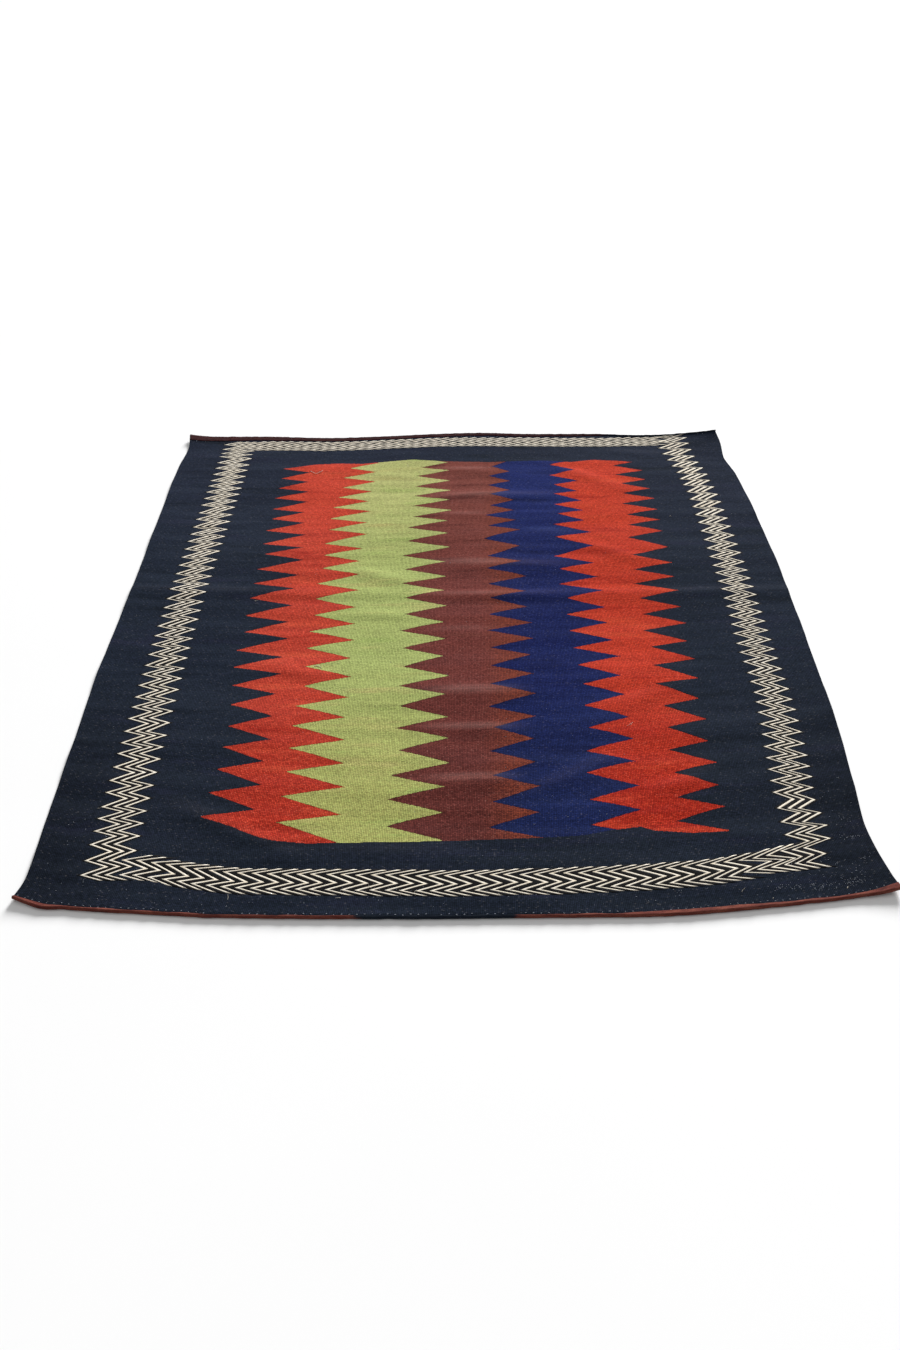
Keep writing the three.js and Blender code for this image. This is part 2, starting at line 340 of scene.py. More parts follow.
class Graph:
    """Adds nodes to one material and joins them up."""

    def __init__(self, name):
        self.material = bpy.data.materials.new(name)
        self.material.use_nodes = True
        self.tree = self.material.node_tree
        self.shader = self.tree.nodes["Principled BSDF"]

    def add(self, kind, **settings):
        node = self.tree.nodes.new(kind)
        for name, value in settings.items():
            setattr(node, name, value)
        return node

    def put(self, socket, value):
        if isinstance(value, bpy.types.NodeSocket):
            self.tree.links.new(value, socket)
        else:
            socket.default_value = value

    def math(self, operation, *values, clamp=False):
        node = self.add("ShaderNodeMath", operation=operation, use_clamp=clamp)
        for socket, value in zip(node.inputs, values):
            self.put(socket, value)
        return node.outputs[0]

    def times(self, a, b):
        return self.math("MULTIPLY", a, b)

    def plus(self, a, b):
        return self.math("ADD", a, b)

    def minus(self, a, b):
        return self.math("SUBTRACT", a, b)

    def times_plus(self, value, factor, more, clamp=False):
        return self.math("MULTIPLY_ADD", value, factor, more, clamp=clamp)

    def mix(self, share, a, b):
        node = self.add("ShaderNodeMix", data_type="FLOAT")
        for index, value in zip((0, 2, 3), (share, a, b)):
            self.put(node.inputs[index], value)
        return node.outputs[0]

    def tint(self, share, a, b, blend="MIX"):
        node = self.add("ShaderNodeMix", data_type="RGBA", blend_type=blend)
        for index, value in zip((0, 6, 7), (share, a, b)):
            self.put(node.inputs[index], value)
        return node.outputs[2]

    def scale(self, color, factor):
        node = self.add("ShaderNodeVectorMath", operation="SCALE")
        self.put(node.inputs[0], color)
        self.put(node.inputs["Scale"], factor)
        return node.outputs[0]

    def uv(self, name, size=1000.0):
        """The two parts of a uv map, in millimetres."""
        split = self.add("ShaderNodeSeparateXYZ")
        self.put(split.inputs[0], self.add("ShaderNodeUVMap", uv_map=name).outputs[0])
        return [self.times(split.outputs[i], size) for i in range(2)]

    def join(self, x, y, z=0.0):
        node = self.add("ShaderNodeCombineXYZ")
        for socket, value in zip(node.inputs, (x, y, z)):
            self.put(socket, value)
        return node.outputs[0]

    def noise(self, place, scale=1.0, detail=2.0, rough=0.5):
        node = self.add("ShaderNodeTexNoise", noise_dimensions="3D")
        self.put(node.inputs["Vector"], place)
        node.inputs["Scale"].default_value = scale
        node.inputs["Detail"].default_value = detail
        node.inputs["Roughness"].default_value = rough
        return node.outputs[0]

    def stretched(self, x, y, scale_x, scale_y, z=0.0, detail=3.0, rough=0.5):
        """Noise with a scale of its own along x and along y."""
        place = self.join(self.times(x, scale_x), self.times(y, scale_y), z)
        return self.noise(place, detail=detail, rough=rough)

    def grain(self, place):
        node = self.add("ShaderNodeTexWhiteNoise", noise_dimensions="3D")
        self.put(node.inputs["Vector"], place)
        return node.outputs[0]

    def curve(self, value, table, smooth=True):
        """Reads a table of (at, value) rows as a curve, level beyond its two ends."""
        ats = [row[0] for row in table]
        values = [row[1] for row in table]
        low, high = min(values), max(values)
        span = (high - low) or 1.0
        share = self.math("DIVIDE", self.minus(value, ats[0]), ats[-1] - ats[0], clamp=True)
        node = self.add("ShaderNodeFloatCurve")
        points = node.mapping.curves[0].points
        while len(points) < len(table):
            points.new(0.5, 0.5)
        for point, at, height in zip(points, ats, values):
            point.location = ((at - ats[0]) / (ats[-1] - ats[0]), (height - low) / span)
            point.handle_type = "AUTO" if smooth else "VECTOR"
        node.mapping.update()
        self.put(node.inputs["Value"], share)
        return self.times_plus(node.outputs[0], span, low)

    def smooth(self, value, low, high):
        node = self.add("ShaderNodeMapRange", interpolation_type="SMOOTHSTEP")
        for index, number in zip((0, 1, 2, 3, 4), (value, low, high, 0.0, 1.0)):
            self.put(node.inputs[index], number)
        return node.outputs[0]

    def bump(self, height, distance, strength=1.0):
        node = self.add("ShaderNodeBump")
        node.inputs["Strength"].default_value = strength
        node.inputs["Distance"].default_value = distance
        self.put(node.inputs["Height"], height)
        self.put(self.shader.inputs["Normal"], node.outputs[0])

    def cloth(self, rough, sheen, specular=0.06):
        self.shader.inputs["Roughness"].default_value = rough
        self.shader.inputs["Sheen Weight"].default_value = sheen
        self.shader.inputs["Sheen Roughness"].default_value = 0.6
        self.shader.inputs["Specular IOR Level"].default_value = specular


def linear(*screen):
    """A colour given as 0 to 255 on screen, as the shader's linear values."""
    values = [((c / 255 + 0.055) / 1.055) ** 2.4 if c > 10 else c / 255 / 12.92 for c in screen]
    return (*values, 1.0)


# Warp and weft spacing of the cloth and of the tape, in millimetres
WARP = 3.0
WEFT = 1.3
TAPE_WARP = 1.0
TAPE_WEFT = 0.8

# Where the teeth are: y, and the number of teeth passed from the near end, on each long side
TEETH_LEFT = [
    (-640, -0.65), (-593, 0), (-302, 5), (-131, 8), (44, 11), (216, 14), (260, 15), (320, 16),
    (609, 22), (700, 23.9),
]
TEETH_RIGHT = [
    (-650, -0.8), (-597, 0), (-362, 4), (-122, 8), (46, 11), (212, 14), (292, 15), (347, 16),
    (630, 22), (700, 23.5),
]
# The left side's count goes over to the right side's from this x, over this width
BLEND_FROM = -442.0
BLEND_OVER = 670.0
# The rows of teeth sag in the middle towards the near end
BOW_MIDDLE = 10.0
BOW_HALF = 450.0
BOW_DEEP = 17.0
BOW_SPAN = (-200.0, -600.0)

# The six toothed boundaries from left to right.
# left and right: y and x of the tips. lean: y, and the share of the pitch from a left tip to the
# next right tip. least and most: the teeth it has. dark: 1 or -1 for darker wool right or left of it.
BOUNDARIES = [
    dict(
        left=[(-600, -447), (-480, -438), (-360, -430), (-240, -445), (0, -447), (600, -445)],
        right=[(-600, -349), (-200, -354), (200, -353), (420, -368), (560, -369), (640, -350)],
        lean=[(-600, 0.42), (-360, 0.46), (-200, 0.6), (200, 0.62), (640, 0.6)],
        least=0.0, most=22.0, dark=-1,
    ),
    dict(
        left=[(-600, -313), (-200, -307), (100, -307), (330, -302), (500, -290), (620, -276)],
        right=[(-600, -205), (-380, -209), (-200, -217), (200, -217), (500, -210), (640, -200)],
        lean=[(-600, 0.42), (0, 0.48), (260, 0.58), (640, 0.54)],
        least=-0.58, most=23.0, dark=-1,
    ),
    dict(
        left=[(-600, -129), (-380, -118), (0, -118), (250, -124), (420, -107), (640, -98)],
        right=[(-600, -36), (-380, -23), (0, -30), (300, -22), (560, -18), (640, -29)],
        lean=[(-600, 0.54), (640, 0.54)],
        least=-0.46, most=23.0, dark=1,
    ),
    dict(
        left=[(-600, 50), (-380, 56), (0, 60), (280, 62), (420, 70), (640, 82)],
        right=[
            (-660, 166), (-622, 150), (-585, 134), (-380, 137), (-100, 147), (280, 142), (420, 134),
            (640, 126),
        ],
        lean=[(-600, 0.55), (-200, 0.56), (60, 0.45), (260, 0.6), (480, 0.44), (640, 0.52)],
        least=-1.0, most=23.0, dark=1,
    ),
    dict(
        left=[(-600, 220), (-420, 228), (-270, 234), (0, 228), (260, 220), (430, 234), (640, 226)],
        right=[(-600, 312), (-300, 318), (0, 312), (260, 306), (420, 302), (640, 288)],
        lean=[(-600, 0.52), (0, 0.46), (200, 0.5), (360, 0.35), (640, 0.5)],
        least=-1.0, most=23.0, dark=-1,
    ),
    dict(
        left=[(-600, 363), (-480, 377), (-200, 380), (0, 384), (250, 388), (430, 400), (640, 400)],
        right=[(-600, 446), (-400, 456), (-120, 466), (100, 476), (420, 478), (560, 470), (640, 455)],
        lean=[(-640, 0.64), (-600, 0.6), (-560, 0.5), (-240, 0.32), (60, 0.48), (640, 0.48)],
        least=-1.0, most=24.0, dark=1,
    ),
]
TIP_NOISE = 11.0
PITCH_NOISE = 0.14
# How far the two sides of a tooth bend off a straight line
BEND_OUT = 0.16
BEND_BACK = -0.08

# The near and far edges of the toothed field: x, y
FIELD_NEAR = [
    (-447, -593), (-416, -605), (-387, -617), (-343, -639), (-314, -647), (-259, -652), (-120, -649),
    (-30, -647), (150, -638), (202, -634), (247, -623), (300, -614), (326, -623), (384, -628), (460, -624),
]
FIELD_FAR = [
    (-442, 612), (-363, 635), (-304, 640), (-246, 638), (-210, 645), (-116, 661), (-30, 652), (81, 648),
    (132, 652), (226, 656), (291, 648), (350, 661), (391, 656), (455, 648),
]

# Wool colours as seen on screen: at the near end, half way and at the far end, and two odd dye lots
# From the near colour to the far one each wool is painted lighter: painted shade towards the near end
DYES_AND_PAINTED_SHADE = {
    "navy": [(26, 33, 44), (29, 37, 50), (34, 41, 56), (21, 28, 38), (34, 38, 56)],
    "red": [(164, 46, 32), (181, 62, 46), (194, 66, 48), (155, 40, 29), (200, 78, 54)],
    "red_right": [(160, 39, 25), (182, 55, 36), (190, 60, 40), (154, 36, 25), (196, 70, 44)],
    "green": [(162, 163, 95), (165, 176, 106), (180, 181, 117), (182, 172, 110), (148, 166, 92)],
    "brown": [(90, 43, 39), (108, 54, 49), (124, 68, 60), (80, 38, 35), (120, 64, 57)],
    "blue": [(24, 34, 74), (22, 31, 81), (29, 40, 96), (18, 25, 64), (32, 44, 94)],
}
# Each tape: its colour, then a painted highlight and a painted shade of it
NEAR_TAPE_COLOR_AND_PAINTED_LIGHT = [(100, 50, 43), (122, 68, 56), (70, 34, 30)]
FAR_TAPE_COLOR_AND_PAINTED_LIGHT = [(58, 20, 24), (72, 28, 28), (42, 16, 22)]
# Millimetres along the tape, and how far the wool is drawn over it there
NEAR_TAPE_HIDDEN = [(0, 0), (500, 0), (590, 1), (760, 1), (830, 0), (1410, 0)]
FAR_TAPE_HIDDEN = [(0, 0), (1000, 0), (1230, 1), (1410, 1)]
RUST = linear(122, 58, 42)
WARP_PALE = linear(150, 142, 130)
CORNER_SHADE = 0.35
DUST = linear(176, 188, 206)
# Colour and share of the painted highlight and pale wear beyond the crests
PAINTED_HIGHLIGHT_AND_RUBBED = linear(214, 190, 182)
HIGHLIGHT_AND_WEAR_SHARE = 0.09
DUST_SHARE = 0.010
# The stretches of y in which the painted shade goes over from the near colour to the half way one, and from
# that to the far one
NEAR_TO_MIDDLE = (-580.0, -120.0)
MIDDLE_TO_FAR = (80.0, 560.0)
LOT_SHARE = 0.8
# How much each unevenness of the wool changes its tone
TONE_MIDDLE = 1.075
TONE_WEIGHTS = dict(cell=0.56, mottle=0.32, row=0.10, streak=0.34, abrash=0.42, cloud=0.22)
# Strength of the painted shade in the grooves between the warps
GROOVE_PAINTED_SHADE = 0.56
# Width and strength of the painted shadow along the slits
SLIT_SHADOW_WIDE = 5.5
SLIT_PAINTED_SHADOW = 0.5
# Twist of the border's yarn and of sewing thread: slant across it, and millimetres in a turn
YARN_SLANT, YARN_TURN = 0.55, 1.7
THREAD_SLANT, THREAD_TURN = 0.8, 0.9


def tooth_side(g, share, bend):
    """Share of the way across at a share of the way along one side of a tooth."""
    off = g.times(g.times(share, g.minus(1.0, share)), bend)
    return g.minus(share, off)


def boundary_x(g, y, teeth, seed, row):
    """Where a boundary runs: x in millimetres at each y."""
    drift = g.noise(g.join(g.times(y, 0.011), seed * 3.7), detail=1.0)
    count = g.times_plus(g.minus(drift, 0.5), PITCH_NOISE * 2, teeth)
    count = g.math("MINIMUM", g.math("MAXIMUM", count, row["least"]), row["most"])
    whole = g.math("FLOOR", count)
    part = g.minus(count, whole)
    lean = g.curve(y, row["lean"])
    rest = g.minus(1.0, lean)
    going = g.math("LESS_THAN", part, lean)
    left_tip = g.minus(g.plus(whole, 1.0), going)
    left_off = g.grain(g.join(left_tip, seed + 0.31))
    right_off = g.grain(g.join(whole, seed + 0.77))
    left = g.times_plus(g.minus(left_off, 0.5), TIP_NOISE, g.curve(y, row["left"]))
    right = g.times_plus(g.minus(right_off, 0.5), TIP_NOISE, g.curve(y, row["right"]))
    out = tooth_side(g, g.math("DIVIDE", part, lean, clamp=True), BEND_OUT)
    back = tooth_side(g, g.math("DIVIDE", g.minus(1.0, part), rest, clamp=True), BEND_BACK)
    return g.mix(g.mix(going, back, out), left, right)


def woven_places(g):
    """Where a spot lies on the rug and in the weave, and how the wool varies there: w further on."""
    plan_x, plan_y = g.uv("Plan")
    weave_x, weave_y = g.uv("Weave")
    warps = g.math("DIVIDE", weave_x, WARP)
    wefts = g.math("DIVIDE", weave_y, WEFT)
    warp, weft = g.math("FLOOR", warps), g.math("FLOOR", wefts)
    warp_part, weft_part = g.math("FRACT", warps), g.math("FRACT", wefts)
    # The pattern is read at the middle of each weave cell, so its edges step as woven ones do
    x = g.minus(plan_x, g.times_plus(warp_part, WARP, -WARP / 2))
    y = g.minus(plan_y, g.times_plus(weft_part, WEFT, -WEFT / 2))
    return SimpleNamespace(
        plan_x=plan_x, plan_y=plan_y, weave_x=weave_x, weave_y=weave_y,
        warp_part=warp_part, weft_part=weft_part,
        x=x, y=g.plus(y, PATTERN_SHIFT), highlight_and_wear=g.uv("HighlightAndWear", 1.0)[0],
        cell=g.grain(g.join(warp, weft, 3.0)),
        row=g.grain(g.join(weft, 9.0)),
        streak=g.stretched(weave_x, weave_y, 0.006, 0.33),
        abrash=g.stretched(weave_x, weave_y, 0.0022, 0.021, 4.0, detail=4.0),
        mottle=g.stretched(plan_x, plan_y, 0.16, 0.12, 6.0),
        cloud=g.stretched(plan_x, plan_y, 0.009, 0.009, 8.0),
    )


def toothed_edges(g, w):
    """Where the six boundaries run at each y, with the rows of teeth sagging in the middle."""
    side = g.math("DIVIDE", g.minus(w.x, BOW_MIDDLE), BOW_HALF)
    bow = g.math("MAXIMUM", g.minus(1.0, g.times(side, side)), 0.0)
    along = g.plus(w.y, g.times(g.times(bow, BOW_DEEP), g.smooth(w.y, *BOW_SPAN)))
    across = g.math("DIVIDE", g.minus(w.x, BLEND_FROM), BLEND_OVER, clamp=True)
    left_count = g.curve(along, TEETH_LEFT, smooth=False)
    right_count = g.curve(along, TEETH_RIGHT, smooth=False)
    teeth = g.mix(across, left_count, right_count)
    return [boundary_x(g, w.y, teeth, seed + 1, row) for seed, row in enumerate(BOUNDARIES)]


def dyed_wool_with_painted_shade(g, w, name, seed):
    """A wool in odd dye lots, which change along the length and drift along the wefts, with painted shade
    that darkens it towards the near end.
    """
    near, half_way, far, one, two = [linear(*color) for color in DYES_AND_PAINTED_SHADE[name]]
    # Painted shade: darker at the near end, lighter at the far end
    base = g.tint(g.smooth(w.y, *NEAR_TO_MIDDLE), near, half_way)
    base = g.tint(g.smooth(w.y, *MIDDLE_TO_FAR), base, far)
    lots = g.stretched(w.weave_x, w.weave_y, 0.004, 0.028, seed * 5.1, detail=4.0, rough=0.6)
    odd_cell = g.math("GREATER_THAN", w.cell, 0.8)
    base = g.tint(g.times(odd_cell, 0.4), base, two)
    base = g.tint(g.times(g.smooth(lots, 0.52, 0.74), LOT_SHARE), base, one)
    return g.tint(g.times(g.smooth(lots, 0.46, 0.28), LOT_SHARE), base, two)


def field_share(g, w):
    """1 inside the toothed field and 0 outside it."""
    past_near = g.math("GREATER_THAN", w.y, g.curve(w.x, FIELD_NEAR, smooth=False))
    before_far = g.math("LESS_THAN", w.y, g.curve(w.x, FIELD_FAR, smooth=False))
    return g.times(past_near, before_far)


def dyed_pattern(g, w, edges, in_field):
    """The colours of the field's bands, and the navy ground with painted shade in its near corners."""
    # Painted shade: the navy ground darkens towards the near corners
    near_corner_painted_shade = g.times(g.smooth(g.math("ABSOLUTE", w.plan_x), 500.0, 700.0), g.smooth(w.plan_y, 0.0, -700.0))
    ground = g.scale(dyed_wool_with_painted_shade(g, w, "navy", 5), g.times_plus(near_corner_painted_shade, -CORNER_SHADE, 1.0))
    from_tips = g.minus(w.x, g.curve(w.y, BOUNDARIES[3]["left"]))
    rust_streaks = g.plus(w.streak, g.times(w.cell, 0.5))
    rust_share = g.times(g.smooth(from_tips, -26.0, 56.0), g.smooth(rust_streaks, 0.42, 0.92))
    bands = [
        dyed_wool_with_painted_shade(g, w, "red", 1), dyed_wool_with_painted_shade(g, w, "green", 2),
        g.tint(rust_share, dyed_wool_with_painted_shade(g, w, "brown", 3), RUST),
        dyed_wool_with_painted_shade(g, w, "blue", 4), dyed_wool_with_painted_shade(g, w, "red_right", 6), ground,
    ]
    color = ground
    for edge, band in zip(edges, bands):
        color = g.tint(g.math("GREATER_THAN", w.x, edge), color, band)
    return g.tint(in_field, ground, color)


def slit_painted_shadow_share(g, w, edges, in_field):
    """1 where painted shadow darkens the slits between two colours."""
    slit_shadow = 0.0
    for edge, row in zip(edges, BOUNDARIES):
        off = g.times(g.minus(w.x, edge), float(row["dark"]))
        # Painted shadow along the slits, on the darker wool's side
        near = g.times(g.smooth(off, SLIT_SHADOW_WIDE, 0.8), g.math("GREATER_THAN", off, -0.6))
        slit_shadow = g.math("MAXIMUM", slit_shadow, near)
    return g.times(slit_shadow, in_field)


def wool_tone(g, w, slit_shadow):
    """How light the wool is: uneven yarn, streaks along the wefts, painted shade in the grooves between the
    warps and painted shadow in the slits.
    """
    tone = TONE_MIDDLE
    for name, weight in TONE_WEIGHTS.items():
        tone = g.times_plus(g.minus(getattr(w, name), 0.5), weight, tone)
    groove = g.times(g.math("ABSOLUTE", g.minus(w.warp_part, 0.5)), 2.0)
    # Painted shade in the grooves between the warps
    tone = g.times_plus(g.smooth(groove, 0.45, 1.0), -GROOVE_PAINTED_SHADE, tone)
    # Painted shadow along the slits
    return g.times_plus(slit_shadow, -SLIT_PAINTED_SHADOW, tone)


def dust_highlight_and_wear_over(g, w, color):
    """Dust, painted highlight with pale wear from rubbing just beyond the crests, and specks of pale warp,
    over the dyed wool.
    """
    # Painted highlight with some pale wear from rubbing, on the far-facing slopes of the crests
    highlight_and_rubbed = g.times(w.highlight_and_wear, g.times_plus(w.streak, 1.6, -0.1))
    dust = g.times(g.smooth(g.plus(w.abrash, g.times(w.mottle, 0.5)), 0.62, 0.95), DUST_SHARE)
    color = g.tint(1.0, color, g.scale(DUST[:3], dust), "ADD")
    color = g.tint(1.0, color, g.scale(PAINTED_HIGHLIGHT_AND_RUBBED[:3], g.times(highlight_and_rubbed, HIGHLIGHT_AND_WEAR_SHARE)), "ADD")
    speck = g.times(g.math("GREATER_THAN", w.cell, 0.982), 0.10)
    return g.tint(speck, color, WARP_PALE)


def kilim_material():
    g = Graph("kilim_weave")
    w = woven_places(g)
    edges = toothed_edges(g, w)
    in_field = field_share(g, w)
    tone = wool_tone(g, w, slit_painted_shadow_share(g, w, edges, in_field))
    color = g.scale(dyed_pattern(g, w, edges, in_field), tone)
    g.put(g.shader.inputs["Base Color"], dust_highlight_and_wear_over(g, w, color))

    # Ribs over the warps, with the wefts lying across them
    rib = g.math("SINE", g.times(w.warp_part, math.pi))
    weft = g.math("SINE", g.times(w.weft_part, math.pi))
    relief = g.times_plus(rib, 0.55, g.times(weft, 0.30))
    relief = g.times_plus(w.cell, 0.25, relief)
    relief = g.times_plus(w.streak, 0.5, relief)
    g.bump(relief, 0.0007, 0.8)
    g.cloth(rough=0.9, sheen=0.01, specular=0.01)
    return g.material


def yarn_material(name, color, other):
    """Raised yarn of the border, wrapped over the warps in slanting turns, with painted shade in the
    grooves between the turns.
    """
    g = Graph(name)
    along, across = g.uv("Stroke")
    turns = g.math("DIVIDE", g.times_plus(across, YARN_SLANT, along), YARN_TURN)
    part = g.math("FRACT", turns)
    wool = g.stretched(along, across, 0.5, 0.9, detail=4.0)
    each = g.grain(g.join(g.math("FLOOR", turns), 2.0))
    share = g.times_plus(g.minus(wool, 0.5), 1.2, each, clamp=True)
    base = g.tint(share, color, other)
    groove = g.smooth(g.math("SINE", g.times(part, math.pi)), 0.0, 0.75)
    # Painted shade in the grooves between the turns
    base = g.scale(base, g.times_plus(groove, 0.20, 0.84))
    g.put(g.shader.inputs["Base Color"], base)
    g.bump(g.times_plus(wool, 0.3, groove), 0.0003, 0.5)
    g.cloth(rough=0.9, sheen=0.02)
    return g.material


def tape_material(name, color_and_painted_light, hidden):
    """Cotton tape in one colour with patches of painted highlight and painted shade. hidden: along the
    tape, share of navy wool that is drawn over it.
    """
    g = Graph(name)
    along, around = g.uv("Weave")
    rib = g.math("FLOOR", g.math("DIVIDE", along, TAPE_WARP))
    row = g.math("FLOOR", g.math("DIVIDE", around, TAPE_WEFT))
    fine = g.grain(g.join(rib, row))
    patch = g.stretched(along, around, 0.03, 0.2, 2.0, detail=4.0)
    streak = g.stretched(along, around, 0.12, 1.1, 6.0)
    middle, light, dark = [linear(*color) for color in color_and_painted_light]
    # Painted highlight and painted shade in patches over the tape's colour
    base = g.tint(g.smooth(patch, 0.4, 0.65), middle, light)
    base = g.tint(g.smooth(patch, 0.42, 0.25), base, dark)
    drawn = g.plus(g.curve(along, hidden, smooth=False), g.times(g.minus(patch, 0.5), 0.6))
    base = g.tint(g.smooth(drawn, 0.4, 0.6), base, linear(*DYES_AND_PAINTED_SHADE["navy"][0]))
    tone = g.times_plus(g.minus(fine, 0.5), 0.45, 1.0)
    tone = g.times_plus(g.minus(streak, 0.5), 0.7, tone)
    g.put(g.shader.inputs["Base Color"], g.scale(base, tone))
    ribs = g.math("SINE", g.times(along, 2 * math.pi / TAPE_WARP))
    rows = g.math("SINE", g.times(around, 2 * math.pi / TAPE_WEFT))
    g.bump(g.times_plus(streak, 1.5, g.plus(ribs, rows)), 0.00025, 0.7)
    g.cloth(rough=0.9, sheen=0.02)
    return g.material


def thread_material(name, color, other):
    g = Graph(name)
    along, across = g.uv("Stroke")
    wool = g.stretched(along, across, 0.8, 2.0)
    g.put(g.shader.inputs["Base Color"], g.tint(wool, color, other))
    twist = g.math("SINE", g.times(g.times_plus(across, THREAD_SLANT, along), 2 * math.pi / THREAD_TURN))
    g.bump(twist, 0.00015, 0.6)
    g.cloth(rough=0.9, sheen=0.1)
    return g.material


def floor_material():
    g = Graph("pale_floor")
    where = g.add("ShaderNodeTexCoord").outputs["Object"]
    wash = g.noise(where, scale=1.4, detail=3.0)
    g.put(g.shader.inputs["Base Color"], g.tint(wash, (0.86, 0.86, 0.86, 1), (0.89, 0.89, 0.89, 1)))
    g.shader.inputs["Roughness"].default_value = 0.8
    return g.material


# Cloth

# Columns that round a selvedge: distance in from the edge
SELVEDGE_COLUMNS = np.array([0.0, 0.22, 0.6, 1.25, 2.5, 3.8, 5.2, 8.0])
END_ROW = 1.5
BAKE_MARGIN = 0.004


def drawn_columns():
    """Shares of the width for the cloth's columns, with close ones that round the selvedges."""
    close = SELVEDGE_COLUMNS / WIDTH
    inner = np.linspace(close[-1], 1 - close[-1], CLOTH_COLUMNS)[1:-1]
    return np.concatenate([close, inner, 1 - close[::-1]])


def drawn_rows(u):
    """Shares of the length for each column, from inside one tape to inside the other."""
    length = length_at(u)
    start = CLOTH_SETBACK / length
    end = 1 - start
    even = np.linspace(0, 1, CLOTH_ROWS)
    close = END_ROW / length
    middle = start[None, :] + close[None, :] + even[:, None] * (end - start - 2 * close)[None, :]
    return np.concatenate([start[None, :], middle, end[None, :]])


def quads_of(grid, flip):
    """The quads of a grid of vertex numbers, turned over where flip is true."""
    a, b, c, d = grid[:-1, :-1], grid[:-1, 1:], grid[1:, 1:], grid[1:, :-1]
    order = (a, d, c, b) if flip else (a, b, c, d)
    return np.stack(order, axis=-1).reshape(-1, 4)


def make_cloth(material):
    u_row = drawn_columns()
    v = drawn_rows(u_row)
    u = np.broadcast_to(u_row, v.shape)
    rows, columns = v.shape
    x, y = plan(u, v)
    under, face = cloth_layers(u, v)
    # The two cut ends are thin inside the tape
    face_z = face.copy()
    face_z[[0, -1]] = ((under + face) / 2)[[0, -1]]
    # Face and underside share the vertices of the rim
    inner = (slice(1, -1), slice(1, -1))
    top = np.arange(rows * columns).reshape(rows, columns)
    bottom = top.copy()
    bottom[inner] = rows * columns + np.arange(top[inner].size).reshape(top[inner].shape)
    points = metres(x, y, face_z).reshape(-1, 3)
    points = np.concatenate([points, metres(x[inner], y[inner], under[inner]).reshape(-1, 3)])
    faces = np.concatenate([quads_of(top, False), quads_of(bottom, True)])
    # Length across at the middle row, so that the rounded rim has width in the maps too
    rim = length_so_far(x[rows // 2], face_z[rows // 2])
    weave_x = np.broadcast_to(rim, v.shape)
    weave_y = v * LENGTH

    def both(a, b):
        grid = np.stack([a, b], axis=-1)
        return np.concatenate([grid.reshape(-1, 2), grid[inner].reshape(-1, 2)])

    used = 1 - 2 * BAKE_MARGIN
    bake_x = BAKE_MARGIN + weave_x / rim[-1] * used
    bake_y = BAKE_MARGIN + (weave_y + 2.0) / (LENGTH + 4.0) * used
    uvs = {
        "Weave": both(weave_x, weave_y) * MM,
        "Plan": both(x, y) * MM,
        # Share of painted highlight and pale wear at each vertex
        "HighlightAndWear": both(crest_highlight_and_wear(x, y), np.zeros_like(x)),
        "OFBake": both(bake_x, bake_y),
    }
    return new_mesh("woven_cloth", points, faces, uvs, material)


# End tapes

TAPE_STEP = 4.0
TAPE_STITCH = 12.0
TAPE_PINCH = 0.45
TAPE_WOBBLE = 0.8
# The nose's unevenness, and the distance over which it dies out
NOSE_SHIFT = 0.45
NOSE_SHIFT_REACH = 8.0
NOSE_BULGE = 0.06
PUFF_HIGH = 0.5
# How far the cut edges are rounded
EDGE_IN = 0.35


def half_turn(centre, middle, radius, steps):
    angle = np.linspace(0, math.pi, steps + 1)
    return centre - radius * np.sin(angle), middle + radius * np.cos(angle)


def tape_section(depth, puff, pinch):
    """The folded tape's section for each place along it: distance in from the fold, and height."""
    slot = SLOT_HEIGHT / 2
    radius = NOSE_RADIUS
    roll_s, roll_z = half_turn(radius, radius, radius, 12)
    inner_s, inner_z = half_turn(NOSE_WALL + slot, TAPE_HEIGHT / 2, slot, 6)
    inner_s, inner_z = inner_s[::-1], inner_z[::-1]
    share = np.linspace(0, 1, 6)
    arch = np.sin(math.pi * share)
    s_list, z_list = [], []
    for d, p, q in zip(depth, puff, pinch):
        top_s = d + (radius - d) * share
        top_z = TAPE_HEIGHT + (2 * radius - TAPE_HEIGHT) * share**1.5 + PUFF_HIGH * p * arch
        top_z[0] = TAPE_HEIGHT - q
        top_z[1] -= 0.5 * q
        edge_s = [d + EDGE_IN, d + EDGE_IN]
        edge_z = [TAPE_HEIGHT - TAPE_THICK * 0.75 - q * 0.6, TAPE_HEIGHT - TAPE_THICK * 0.3 - q]
        low_s = [radius + (d - radius) * 0.5, d, d + EDGE_IN, d]
        low_z = [0.0, 0.0, TAPE_THICK * 0.5, TAPE_THICK]
        nose_z = roll_z[1:] * (1 + NOSE_BULGE * p)
        s_list.append(np.concatenate([edge_s, top_s, roll_s[1:], low_s, inner_s, [d]]))
        last_z = [TAPE_HEIGHT - TAPE_THICK]
        z_list.append(np.concatenate([edge_z, top_z, nose_z, low_z, inner_z, last_z]))
    return np.array(s_list), np.array(z_list)


def tube_faces(rings, size, flip):
    """The faces of a closed tube of rings with its two caps, turned inside out where flip is true."""
    index = np.arange(rings * size).reshape(rings, size)
    beside = np.roll(index, -1, axis=1)
    quads = np.stack([index[:-1], beside[:-1], beside[1:], index[1:]], axis=-1).reshape(-1, 4)
    faces = quads.tolist() + [index[0][::-1].tolist(), index[-1].tolist()]
    return [face[::-1] for face in faces] if flip else faces


